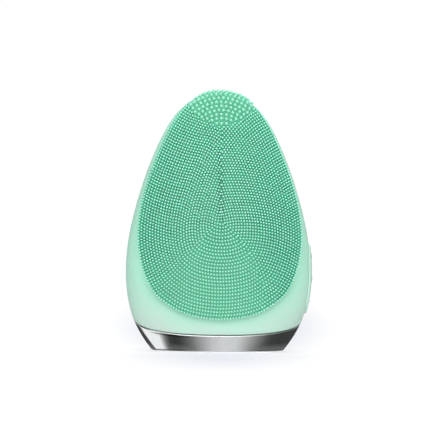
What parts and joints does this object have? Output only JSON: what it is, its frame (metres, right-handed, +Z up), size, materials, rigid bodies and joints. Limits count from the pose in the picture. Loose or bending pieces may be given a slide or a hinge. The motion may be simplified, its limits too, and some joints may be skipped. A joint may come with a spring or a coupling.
{
  "type": "facial cleansing brush",
  "caption": "Handheld silicone facial cleansing brush: egg-shaped body with a bristle pad on its front, raised side keys, a vibration motor inside and a plated base it stands on.",
  "frame": {"origin": "Centre of the flat resting face under the foot pad, on the floor plane.", "axes": "+Z up through the egg-shaped body from foot to top; -Y out of the bristle pad, the front; +X out of the key panel on the side."},
  "size_m": [0.0745, 0.0439, 0.105],
  "materials": {
    "silicone_skin": "soft-touch matt silicone, slightly translucent, pale mint",
    "silicone_keys": "soft-touch silicone, same mint as the skin, slightly smoother",
    "bristle_silicone": "clear-tinted deeper green silicone bristles with paler rounded tips",
    "inner_plastic": "moulded white ABS, fine matt",
    "plated_base": "bright chrome plating on ABS",
    "foot_rubber": "matt pale grey elastomer pad",
    "seal_rubber": "black moulded rubber",
    "circuit_board": "green solder mask on glass-epoxy",
    "dark_component": "black moulded epoxy package",
    "ferrite": "sintered ferrite, dark grey",
    "led_lens": "clear epoxy lens",
    "connector_plastic": "natural nylon",
    "dark_nylon": "glass-filled black nylon",
    "battery_wrap": "aluminised pouch foil",
    "foam": "closed-cell foam",
    "motor_steel": "drawn nickel-plated steel",
    "magnet": "bonded ferrite magnet",
    "bronze": "sintered oil bronze",
    "copper": "enamelled copper wire",
    "heavy_alloy": "sintered tungsten alloy",
    "wire_red": "red PVC insulation",
    "wire_black": "black PVC insulation",
    "ribbon_film": "polyimide film with copper tracks",
    "screw_steel": "zinc-plated steel"
  },
  "bodies": {
    "housing": {"silicone_body": "silicone_skin", "button_panel": "silicone_keys", "brush_pad": "bristle_silicone", "front_shell": "inner_plastic", "back_shell": "inner_plastic", "motor_clamp": "inner_plastic", "base_cup": "plated_base", "foot_pad": "foot_rubber", "base_seal": "seal_rubber", "motor_sleeve": "seal_rubber", "switch_board": "circuit_board", "main_board": "circuit_board", "switch_plus": "dark_component", "switch_power": "dark_component", "switch_minus": "dark_component", "mcu_chip": "dark_component", "charge_chip": "dark_component", "power_inductor": "ferrite", "coil_ferrite": "ferrite", "status_led": "led_lens", "battery_connector": "connector_plastic", "motor_connector": "connector_plastic", "motor_end_bell": "dark_nylon", "battery_cell": "battery_wrap", "battery_foam": "foam", "motor_can": "motor_steel", "motor_magnet": "magnet", "motor_bushing": "bronze", "charge_coil": "copper", "coil_lead_a": "copper", "coil_lead_b": "copper", "motor_lead_red": "wire_red", "battery_lead_red": "wire_red", "motor_lead_black": "wire_black", "battery_lead_black": "wire_black", "switch_ribbon": "ribbon_film", "shell_screw_1": "screw_steel", "shell_screw_2": "screw_steel", "shell_screw_3": "screw_steel", "shell_screw_4": "screw_steel", "base_screw_1": "screw_steel", "base_screw_2": "screw_steel", "base_screw_3": "screw_steel", "base_screw_4": "screw_steel", "board_screw_1": "screw_steel", "board_screw_2": "screw_steel", "clamp_screw_1": "screw_steel", "clamp_screw_2": "screw_steel"},
    "rotor": {"motor_shaft": "motor_steel", "motor_armature": "copper", "eccentric_weight": "heavy_alloy"},
    "key_plus": {"button_plus": "silicone_keys", "stem_plus": "dark_nylon"},
    "key_power": {"button_power": "silicone_keys", "stem_power": "dark_nylon"},
    "key_minus": {"button_minus": "silicone_keys", "stem_minus": "dark_nylon"}
  },
  "joints": [
    {"name": "motor_spin", "type": "hinge", "parent": "housing", "child": "rotor", "pos_m": [0, -0.001, 0.0685], "axis": [0, 0, 1], "continuous": true},
    {"name": "plus_press", "type": "slide", "parent": "housing", "child": "key_plus", "axis": [-1, 0, 0], "range_m": [0, 0.0006], "stiffness_N_per_m": 20, "springref_m": -0.0003},
    {"name": "power_press", "type": "slide", "parent": "housing", "child": "key_power", "axis": [-1, 0, 0], "range_m": [0, 0.0006], "stiffness_N_per_m": 20, "springref_m": -0.0003},
    {"name": "minus_press", "type": "slide", "parent": "housing", "child": "key_minus", "axis": [-1, 0, 0], "range_m": [0, 0.0006], "stiffness_N_per_m": 20, "springref_m": -0.0003}
  ]
}
